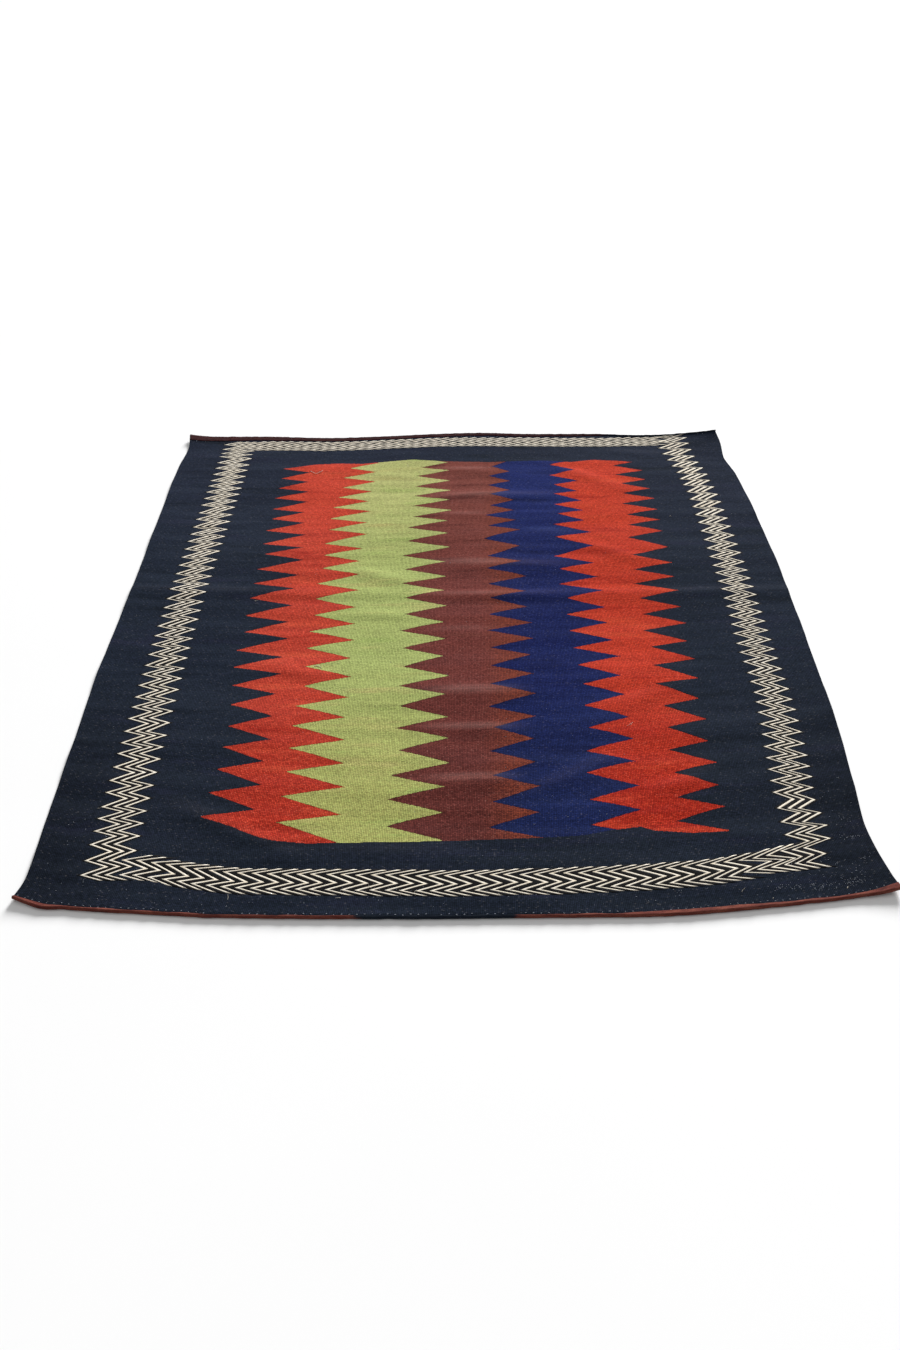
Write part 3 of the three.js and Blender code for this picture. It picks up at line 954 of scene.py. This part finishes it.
def make_tape(name, depths, far, seed, material):
    count = int(WIDTH / TAPE_STEP)
    u = np.linspace(0, 1, count + 1)
    along = u * WIDTH
    wobble = sum_waves(waves(seed, 8, 22.0, 110.0), along, 0.0)
    puff = sum_waves(waves(seed + 1, 8, 9.0, 40.0), along, 0.0)
    stitch = 0.5 + 0.5 * np.cos(2 * math.pi * along / TAPE_STITCH)
    depth = read(depths, u) + TAPE_WOBBLE * wobble
    s, z = tape_section(depth, puff, TAPE_PINCH * stitch)
    nose_shift = NOSE_SHIFT * sum_waves(waves(seed + 2, 6, 25.0, 90.0), along, 0.0)
    s = s + np.maximum(nose_shift, 0)[:, None] * np.clip(1 - s / NOSE_SHIFT_REACH, 0, 1)
    share = s / length_at(u)[:, None]
    v = 1 - share if far else share
    grid_u = np.broadcast_to(u[:, None], v.shape)
    x, y = plan(grid_u, v)
    points = metres(x, y, lift(grid_u, v) + z).reshape(-1, 3)
    around = length_so_far(s[0], z[0])
    uv = np.stack(np.broadcast_arrays(along[:, None], around), axis=-1)
    faces = tube_faces(*s.shape, flip=far)
    return new_mesh(name, points, faces, {"Weave": uv.reshape(-1, 2) * MM}, material)


# Border

WHITE_HIGH = 0.34
BLACK_HIGH = 0.22
BACK_WHITE_HIGH = 0.3
BACK_BLACK_HIGH = 0.22
# How far black yarn runs in under the white on either side, and past its ends
OVERLAP = 0.6
END_MORE = 3.5
STROKE_SINK = 0.35
OUTLINE_WIDE = 5.5
# Half a white line's width, as a share of the spacing of the lines: y, share
WHITE_SHARES = [(-800, 0.18), (0, 0.2), (700, 0.27)]
# The same for the five corners of an end band's columns, and how much more at the far end
COLUMN_SHARES = [0.18, 0.17, 0.165, 0.17, 0.18]
FAR_COLUMN_MORE = 0.08

# The two side bands: y, outermost left tips, outermost right tips, spacing of the lines
LEFT_BAND = [
    (-735, -617, -533, 19.5), (0, -629, -545, 19.0), (500, -620, -535, 18.5), (750, -614, -528, 19.0),
]
RIGHT_BAND = [
    (-710, 522, 600, 18.0), (-672, 519, 601, 20.0), (-640, 536, 618, 17.5), (-600, 537, 616, 17.5),
    (-555, 539, 612, 17.5), (-500, 542, 621, 17.3), (-400, 552, 630, 17.2), (-330, 559, 635, 17.0),
    (-250, 564, 637, 17.0), (-100, 561, 638, 17.0), (0, 565, 640, 17.0), (150, 565, 642, 17.0),
    (489, 562, 637, 17.0), (548, 555, 630, 17.0), (584, 552, 629, 17.0), (650, 538, 617, 17.5),
    (712, 525, 610, 18.5), (792, 527, 608, 19.0),
]
# Left tips of the side bands: a tip's y, and the number of tips from it to the next row's
LEFT_TIPS = [
    (-723, 1), (-692, 1), (-657, 3), (-571, 32), (462, 5), (612, 2), (673, 1), (690, 1), (713, 1), (738, 0),
]
RIGHT_TIPS = [
    (-697, 1), (-668, 1), (-634, 1), (-607, 1), (-575, 1), (-538, 2), (-481, 7), (-270, 14), (169, 9),
    (494, 3), (589, 4), (719, 1), (753, 1), (779, 0),
]
# Share of the way from one left tip to the next where the right tip lies: y, share
LEFT_REACH = [(-735, 0.58), (-300, 0.62), (200, 0.7), (750, 0.62)]
RIGHT_REACH = [
    (-710, 0.55), (-670, 0.62), (-640, 0.68), (-600, 0.65), (-560, 0.55), (-520, 0.45), (-440, 0.36),
    (-360, 0.38), (-300, 0.4), (-200, 0.44), (150, 0.46), (490, 0.75), (560, 0.8), (620, 0.75), (790, 0.72),
]
# How much further from the near end each line of a side band lies than the one on its left: y, rise
LEFT_RISE = [(-735, 0.5), (750, 0.5)]
RIGHT_RISE = [
    (-700, 3.0), (-660, 3.0), (-610, 0.4), (-550, -1.2), (-420, -2.2), (-250, -1.2), (300, -0.5),
    (790, 0.0),
]
# End bands: x, y of the upper left tips
NEAR_BAND = [
    (-640, -692), (-534, -692), (-489, -699), (-438, -708), (-367, -717), (-200, -722), (0, -723),
    (200, -717), (370, -704), (438, -693), (481, -685), (526, -673), (567, -667), (620, -664),
]
FAR_BAND = [
    (-640, 738), (-480, 740), (-348, 738), (-250, 743), (-170, 750), (-40, 761), (120, 763), (300, 761),
    (450, 764), (535, 770), (577, 779), (620, 782),
]
# One column of an end band, from its top end to its bottom end: x and y from the upper left tip
NEAR_COLUMN = [(42, 11), (0, 0), (39, -17), (1, -31), (39, -42)]
FAR_COLUMN = [(42, 13), (0, 0), (39, -12), (1, -24), (38, -33)]
BAND_STEP = 24.1
# Where the evenly spaced columns of each end band start and stop: x, x
NEAR_SPAN = (-552.0, 429.0)
FAR_SPAN = (-550.0, 510.0)
# How far in from the band's outermost tips its first tips lie, as a share of the spacing
FIRST_LINE = 0.24
# How much of an end band's last leg a side line is carried on by, across
END_RUN = 0.9
# How far the weaver's hand wanders: tips, corners, and the columns of the end bands
TIP_WANDER = 2.2
CORNER_WANDER = 0.8
COLUMN_WANDER = 1.2
NEAR_RIGHT_TILT = 0.19
# The last columns before the near right corner: corners from the bottom end to the top end
NEAR_RIGHT_COLUMNS = [
    [(501, -719), (456, -717), (502, -693), (453, -691), (504, -667)],
    [(524, -716), (479, -711), (525, -690), (476, -687), (528, -660)],
    [(544, -714), (503, -706), (543, -687), (500, -681), (546, -656)],
]


def tip_places(rows, seed):
    rng = np.random.default_rng(seed)
    places = []
    for (start, count), (end, _) in zip(rows, rows[1:]):
        for k in range(count):
            wander = rng.uniform(-TIP_WANDER, TIP_WANDER) if k else 0.0
            places.append(start + (end - start) * k / count + wander)
    places.append(rows[-1][0])
    return np.array(places)


def column_of(table, index, y):
    rows = [(row[0], row[index]) for row in table]
    return read(rows, y)


def side_columns(table, tips, reach, rises, seed):
    """The three nested lines of a side band, each a list of corner points from near to far."""
    rng = np.random.default_rng(seed)
    left_y = tip_places(tips, seed)
    right_y = left_y[:-1] + np.diff(left_y) * level(reach, left_y[:-1])

    def corner(x, y, rise):
        return float(x), float(y + rise + rng.uniform(-CORNER_WANDER, CORNER_WANDER))

    near_end = np.subtract(NEAR_COLUMN[-1], NEAR_COLUMN[-2]) * (END_RUN, 1)
    far_end = np.multiply(FAR_COLUMN[0], (END_RUN, 1))
    lines = []
    for c in range(3):
        points = []
        for k, y in enumerate(left_y):
            rise = float(level(rises, y)) * (c - 1)
            inward = column_of(table, 3, y) * (FIRST_LINE + c)
            points.append(corner(column_of(table, 1, y) + inward, y, rise))
            if k < len(right_y):
                y = right_y[k]
                inward = column_of(table, 3, y) * (FIRST_LINE + 2 - c)
                points.append(corner(column_of(table, 2, y) - inward, y, rise))
        lines.append([tuple(points[0] + near_end), *points, tuple(points[-1] + far_end)])
    return lines


def band_columns(table, column, span, seed):
    """The columns of an end band between two x places, each with the tilt of the band there."""
    rng = np.random.default_rng(seed)
    first, last = span
    count = int(round((last - first) / BAND_STEP))
    lines = []
    for k in range(count + 1):
        x0 = first + (last - first) * k / count + rng.uniform(-COLUMN_WANDER, COLUMN_WANDER)
        y0 = float(read(table, x0)) + rng.uniform(-CORNER_WANDER, CORNER_WANDER)
        tilt = float(read(table, x0 + 20) - read(table, x0 - 20)) / 40.0
        points = [(x0 + x + rng.uniform(-1, 1), y0 + y + tilt * x) for x, y in column]
        lines.append((points[::-1], tilt))
    return lines


LEG_STEPS = 5
BACK_LEG_STEPS = 3
TOP_SHARES = np.array([0.0, 0.14, 0.5, 0.86, 1.0])
TOP_HEIGHTS = np.array([-0.25, 0.8, 1.0, 0.8, -0.25])
STROKE_UV_SHARE = 0.35


def walk(points, sides, steps):
    """Points along a polyline with its two sides, each leg cut into steps, and the length so far."""
    corners = np.column_stack([np.asarray(points, float), np.asarray(sides, float)])
    out = [corners[:1]]
    for a, b in zip(corners, corners[1:]):
        share = (np.arange(steps) + 1)[:, None] / steps
        out.append(a + (b - a) * share)
    line = np.concatenate(out)
    return line, length_so_far(line[:, 0], line[:, 1])


def ribbon(points, left, right, tilt, high, face_up=True):
    """A closed raised strip along a zigzag. left and right are its two sides at each corner, across in x.
    tilt: how far in y a line lies beyond the one on its left, as a share of their spacing."""
    steps = LEG_STEPS if face_up else BACK_LEG_STEPS
    line, far = walk(points, np.stack([left, right, tilt], axis=-1), steps)
    left, right, tilt = line[:, 2:3], line[:, 3:4], line[:, 4:5]
    across = left + (right - left) * TOP_SHARES
    x = line[:, :1] + across
    y = line[:, 1:2] + across * tilt
    ground = face_height(x, y) if face_up else under_height(x, y)
    sign = 1 if face_up else -1
    top = ground + sign * high * TOP_HEIGHTS
    # The last two corners of each ring lie sunk below its two sides
    sides = [4, 0]
    low = ground[:, sides] - sign * STROKE_SINK
    xs, ys, offs = [np.concatenate([part, part[:, sides]], axis=1) for part in (x, y, across)]
    zs = np.concatenate([top, low], axis=1)
    uv = np.stack([np.broadcast_to(far[:, None], xs.shape), offs * STROKE_UV_SHARE], axis=-1)
    rising = line[-1, 1] > line[0, 1]
    faces = tube_faces(*xs.shape, flip=rising != face_up)
    return metres(xs, ys, zs).reshape(-1, 3), faces, uv.reshape(-1, 2) * MM


def joined(name, parts, material):
    points, faces, uvs, start = [], [], [], 0
    for part_points, part_faces, part_uv in parts:
        points.append(part_points)
        faces += [[i + start for i in face] for face in part_faces]
        uvs.append(part_uv)
        start += len(part_points)
    return new_mesh(name, np.concatenate(points), faces, {"Stroke": np.concatenate(uvs)}, material)


def border_strokes():
    """Every line of the border: corners, half widths, spacing, tilts, if leftmost, if rightmost."""
    strokes = []
    sides = (
        (LEFT_BAND, LEFT_TIPS, LEFT_REACH, LEFT_RISE, 21),
        (RIGHT_BAND, RIGHT_TIPS, RIGHT_REACH, RIGHT_RISE, 22),
    )
    for table, tips, reach, rises, seed in sides:
        middle = float(column_of(table, 3, 0.0))
        for c, points in enumerate(side_columns(table, tips, reach, rises, seed)):
            ys = [y for _, y in points]
            halves = middle * level(WHITE_SHARES, ys)
            strokes.append((points, halves, middle, level(rises, ys) / middle, c == 0, c == 2))
    near_lines = band_columns(NEAR_BAND, NEAR_COLUMN, NEAR_SPAN, 23)
    near_lines += [(points, NEAR_RIGHT_TILT) for points in NEAR_RIGHT_COLUMNS]
    far_lines = band_columns(FAR_BAND, FAR_COLUMN, FAR_SPAN, 24)
    for lines, more in ((near_lines, 0.0), (far_lines, FAR_COLUMN_MORE)):
        halves = BAND_STEP * (np.array(COLUMN_SHARES[::-1]) + more)
        for points, tilt in lines:
            strokes.append((points, halves, BAND_STEP, np.full(len(halves), tilt), False, False))
    return strokes


def lengthen(points, by):
    """The same line with both ends carried on a little."""
    points = [np.array(p, float) for p in points]
    for end, inner in ((0, 1), (-1, -2)):
        step = points[end] - points[inner]
        points[end] = points[end] + step / np.hypot(*step) * by
    return points


def make_border(white, black):
    whites, blacks, back_whites, back_blacks = [], [], [], []
    for points, half, spacing, tilt, leftmost, rightmost in border_strokes():
        whites.append(ribbon(points, -half, half, tilt, WHITE_HIGH))
        back_whites.append(ribbon(points, -half, half, tilt, BACK_WHITE_HIGH, False))
        longer = lengthen(points, END_MORE)
        gap_end = half + OUTLINE_WIDE if rightmost else spacing - half
        spans = [(half - OVERLAP, gap_end + OVERLAP)]
        if leftmost:
            spans.append((-half - OUTLINE_WIDE, -half + OVERLAP))
        for left, right in spans:
            blacks.append(ribbon(longer, left, right, tilt, BLACK_HIGH))
            back_blacks.append(ribbon(longer, left, right, tilt, BACK_BLACK_HIGH, False))
    return [
        joined("border_white_yarn", whites, white),
        joined("border_black_yarn", blacks, black),
        joined("border_white_back", back_whites, white),
        joined("border_black_back", back_blacks, black),
    ]


# Stitches, lint and loose threads

HEM_BEYOND = (2.2, 4.6)
HEM_RADIUS = 0.42
THREAD_POINTS = 14
# Radius of a thread's two tips, as a share of its own
THREAD_TIP = 0.35
# Clusters of pale darning dashes: x from, x to, y from, y to, number
LINT_CLUSTERS = [
    (-690, 690, -795, -745, 110), (-250, -60, -770, -735, 34), (470, 660, -750, -690, 80),
    (-690, -560, -780, -600, 30), (560, 690, -760, -500, 60), (-680, 680, -740, 760, 120),
    (-600, 600, 690, 760, 20), (60, 320, -640, -300, 26), (498, 540, -752, -742, 26),
    (556, 598, -755, -738, 34), (610, 640, -742, -728, 26), (630, 664, -648, -634, 16),
    (640, 662, -606, -592, 8), (650, 672, -692, -676, 8),
]

def thread(points, radius, sides=5):
    """A thin closed tube along points that are x, y and height above the face, in millimetres."""
    path = np.asarray(points, float)
    ground = face_height(path[:, 0], path[:, 1])
    path = np.stack([path[:, 0], path[:, 1], ground + path[:, 2]], axis=-1)
    heading = np.gradient(path, axis=0)
    heading /= np.linalg.norm(heading, axis=1, keepdims=True)
    side = np.cross(heading, [0, 0, 1.0])
    side /= np.linalg.norm(side, axis=1, keepdims=True)
    up = np.cross(side, heading)
    width = np.full(len(path), radius)
    width[[0, -1]] = radius * THREAD_TIP
    angle = np.linspace(0, 2 * math.pi, sides, endpoint=False)
    ring = (side[:, None, :] * np.cos(angle)[None, :, None] + up[:, None, :] * np.sin(angle)[None, :, None])
    points3 = path[:, None, :] + ring * width[:, None, None]
    rings = len(path)
    index = np.arange(rings * sides).reshape(rings, sides)
    nxt = np.roll(index, -1, axis=1)
    faces = np.stack([index[:-1], index[1:], nxt[1:], nxt[:-1]], axis=-1).reshape(-1, 4).tolist()
    faces += [index[0].tolist(), index[-1][::-1].tolist()]
    far = np.concatenate([[0], np.cumsum(np.linalg.norm(np.diff(path, axis=0), axis=1))])
    uv = np.stack(np.broadcast_arrays(far[:, None], angle[None, :] * radius), axis=-1)
    world = metres(points3[..., 0], points3[..., 1], points3[..., 2]).reshape(-1, 3)
    return world, faces, uv.reshape(-1, 2) * MM


def dash(x, y, length, heading, radius):
    """A short stitch that arches over the cloth."""
    share = np.linspace(-0.5, 0.5, 5)
    arch = radius * (1.2 - 6.0 * share**2)
    xs = x + share * length * math.cos(heading)
    ys = y + share * length * math.sin(heading)
    return thread(np.stack([xs, ys, arch], -1), radius)


def hem_stitches():
    rng = np.random.default_rng(31)
    parts = []
    for far, depths, skipped in ((False, NEAR_TAPE_DEPTH, 0.2), (True, FAR_TAPE_DEPTH, 0.6)):
        for k in range(int((WIDTH - 10.0) / TAPE_STITCH)):
            u = (k + 0.5) * TAPE_STITCH / WIDTH
            if rng.uniform() < skipped:
                continue
            s = float(read(depths, u)) + rng.uniform(*HEM_BEYOND)
            v = s / float(length_at(u))
            x, y = plan(u, 1 - v if far else v)
            size, heading = rng.uniform(1.8, 3.2), rng.uniform(-0.5, 0.5)
            parts.append(dash(float(x), float(y), size, heading, HEM_RADIUS))
    return parts


def lint():
    rng = np.random.default_rng(32)
    parts = []
    for x0, x1, y0, y1, number in LINT_CLUSTERS:
        for _ in range(number):
            x, y = rng.uniform(x0, x1), rng.uniform(y0, y1)
            u, v = shares(x, y)
            inside = 0.01 < float(u) < 0.99 and 0.014 < float(v) < 0.98
            heading = rng.choice([0.0, math.pi / 2]) + rng.uniform(-0.25, 0.25)
            size = rng.uniform(0.9, 2.8)
            radius = rng.uniform(0.18, 0.34)
            if inside:
                parts.append(dash(x, y, size, heading, radius))
    return parts


def loose_threads():
    rng = np.random.default_rng(33)
    share = np.linspace(0, 1, THREAD_POINTS)
    arch = np.sin(math.pi * share)
    # A loop near the far end, a bent end on the left, two short ends, and then scattered ones
    from_middle = share - 0.5
    loop_y = 599 - 16 * (1 - np.abs(from_middle * 2)) ** 0.8
    parts = [thread(np.stack([-358 + 32 * from_middle, loop_y, 0.5 + 1.2 * arch], -1), 0.55)]
    bent_y = -191 + 4 * np.sin(math.pi * share * 1.3)
    parts.append(thread(np.stack([-290 + 16 * share, bent_y, 0.4 + 0.6 * arch], -1), 0.45))
    parts.append(dash(504, 380, 3.4, 0.4, 0.7))
    parts.append(dash(612, -749, 4.0, 1.1, 0.7))
    for _ in range(16):
        x, y = rng.uniform(-640, 640), rng.choice([rng.uniform(-770, -740), rng.uniform(-600, 700)])
        turn, length = rng.uniform(0, 2 * math.pi), rng.uniform(5, 13)
        heading = turn + rng.uniform(-1.6, 1.6) * share
        dx = np.cumsum(np.cos(heading)) * length / THREAD_POINTS
        dy = np.cumsum(np.sin(heading)) * length / THREAD_POINTS
        parts.append(thread(np.stack([x + dx, y + dy, 0.3 + 0.5 * arch], -1), 0.22))
    return parts


# Stage, light and camera

FLOOR_HALF = 14.0
WORLD_STRENGTH = 0.30
# Lamps: name, direction it comes from, width of its disc in degrees, power
LAMPS = [
    ("window_beyond", (0.34, 1.0, 0.40), 20.0, 6.1),
    ("overhead", (-0.2, -0.1, 1.0), 80.0, 0.42),
]


def make_floor(material):
    corners = [(x * FLOOR_HALF, y * FLOOR_HALF, 0) for x, y in ((-1, -1), (1, -1), (1, 1), (-1, 1))]
    mesh = bpy.data.meshes.new("floor")
    mesh.from_pydata(corners, [], [(0, 1, 2, 3)])
    mesh.materials.append(material)
    floor = bpy.data.objects.new("floor", mesh)
    floor.location = (0, 4.0, -0.0004)
    bpy.context.scene.collection.objects.link(floor)


def aim(thing, target):
    heading = Vector(target) - thing.location
    thing.rotation_euler = heading.to_track_quat("-Z", "Y").to_euler()


def make_light():
    world = bpy.data.worlds.new("studio")
    bpy.context.scene.world = world
    world.use_nodes = True
    background = world.node_tree.nodes["Background"]
    background.inputs["Color"].default_value = (1.0, 1.0, 1.0, 1)
    background.inputs["Strength"].default_value = WORLD_STRENGTH
    for name, source, wide, power in LAMPS:
        data = bpy.data.lights.new(name, "SUN")
        data.angle, data.energy = math.radians(wide), power
        lamp = bpy.data.objects.new(name, data)
        lamp.location = source
        bpy.context.scene.collection.objects.link(lamp)
        aim(lamp, (0.0, 0.0, 0.0))


# The photograph's camera, in millimetres over the plan
CAMERA_PLACE = (-20.0, -1892.0, 1380.0)
CAMERA_DOWN = math.radians(39.41)
FOCAL_SHARE = 1105.0 / 1350.0


def make_camera():
    data = bpy.data.cameras.new("photo_camera")
    data.sensor_fit = "VERTICAL"
    data.sensor_height = 36.0
    data.sensor_width = 36.0
    data.lens = data.sensor_height * FOCAL_SHARE
    data.clip_start, data.clip_end = 0.05, 60.0
    camera = bpy.data.objects.new("photo_camera", data)
    x, y, z = CAMERA_PLACE
    camera.location = ((x - MIDDLE_X) * MM, (y - MIDDLE_Y) * MM, z * MM)
    camera.rotation_euler = (math.pi / 2 - CAMERA_DOWN, 0, 0)
    bpy.context.scene.collection.objects.link(camera)
    bpy.context.scene.camera = camera


make_camera()
make_light()
make_floor(floor_material())
bpy.context.scene.view_settings.view_transform = "Standard"

cloth = make_cloth(kilim_material())
near_look = tape_material("near_binding_cotton", NEAR_TAPE_COLOR_AND_PAINTED_LIGHT, NEAR_TAPE_HIDDEN)
far_look = tape_material("far_binding_cotton", FAR_TAPE_COLOR_AND_PAINTED_LIGHT, FAR_TAPE_HIDDEN)
near_tape = make_tape("near_tape", NEAR_TAPE_DEPTH, False, 41, near_look)
far_tape = make_tape("far_tape", FAR_TAPE_DEPTH, True, 51, far_look)
white_yarn = yarn_material("border_ivory", linear(247, 240, 226), linear(232, 218, 194))
black_yarn = yarn_material("border_black", linear(9, 8, 9), linear(17, 15, 16))
border = make_border(white_yarn, black_yarn)
pale_thread = thread_material("pale_thread", linear(176, 182, 194), linear(122, 127, 138))
stitches = joined("hem_stitches", hem_stitches(), pale_thread)
specks = joined("lint", lint(), pale_thread)
white_thread = thread_material("white_thread", linear(226, 220, 208), linear(200, 190, 174))
strands = joined("loose_threads", loose_threads(), white_thread)

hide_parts("kilim_cloth")
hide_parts("near_end_binding")
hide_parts("far_end_binding")
extras = [*border, stitches, specks, strands]
for piece in [cloth, *extras]:
    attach(piece, "root")
for piece in (near_tape, far_tape):
    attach(piece, "root")
